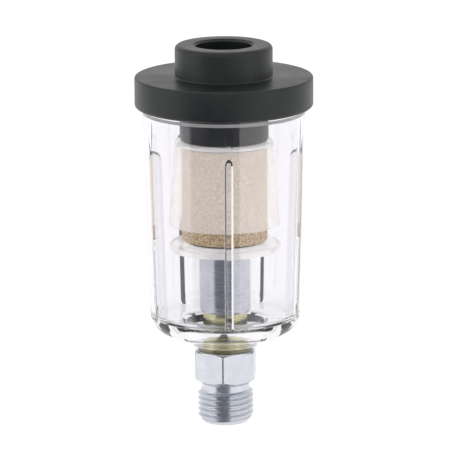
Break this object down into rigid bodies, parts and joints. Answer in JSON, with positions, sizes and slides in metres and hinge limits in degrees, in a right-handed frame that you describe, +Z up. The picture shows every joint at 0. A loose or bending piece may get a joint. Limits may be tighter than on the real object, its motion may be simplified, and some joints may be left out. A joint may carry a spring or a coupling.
{
  "type": "compressed air filter",
  "caption": "In-line compressed air filter with a black threaded head, a clear finned bowl, a milky deflector over a bronze element, and a plated hexagon with a male outlet thread.",
  "frame": {"origin": "centre of the outlet thread's end face, on the axis of flow", "axes": "+Z up the axis, from the outlet thread to the inlet neck; -Y to the front"},
  "size_m": [0.042, 0.042, 0.0909],
  "materials": {
    "black_plastic": "satin black moulding",
    "clear_plastic": "clear polycarbonate",
    "milky_plastic": "natural translucent moulding",
    "sintered_bronze": "porous sintered bronze",
    "zinc_plate": "bright zinc plate over fine turning marks",
    "black_rubber": "matt",
    "amber_rubber": "satin"
  },
  "bodies": {
    "head": {"head": "black_plastic", "head_gasket": "black_rubber"},
    "bowl": {"bowl": "clear_plastic", "baffle_disc": "milky_plastic", "lower_gasket": "black_rubber", "filter_element": "sintered_bronze", "upper_gasket": "black_rubber", "deflector": "milky_plastic"},
    "stem": {"outlet_fitting": "zinc_plate", "outlet_seal": "amber_rubber", "stem": "zinc_plate"}
  },
  "joints": [
    {"name": "bowl_drop", "type": "slide", "parent": "head", "child": "bowl", "axis": [0, 0, -1], "range_m": [0, 0.0055]},
    {"name": "stem_turn", "type": "hinge", "parent": "bowl", "child": "stem", "pos_m": [0, 0, 0], "axis": [0, 0, -1], "range_deg": [0, 1600]}
  ],
  "couplings": [
    {"joint": "stem_turn", "follows": "bowl_drop", "rad_per_m": 5026.5}
  ]
}
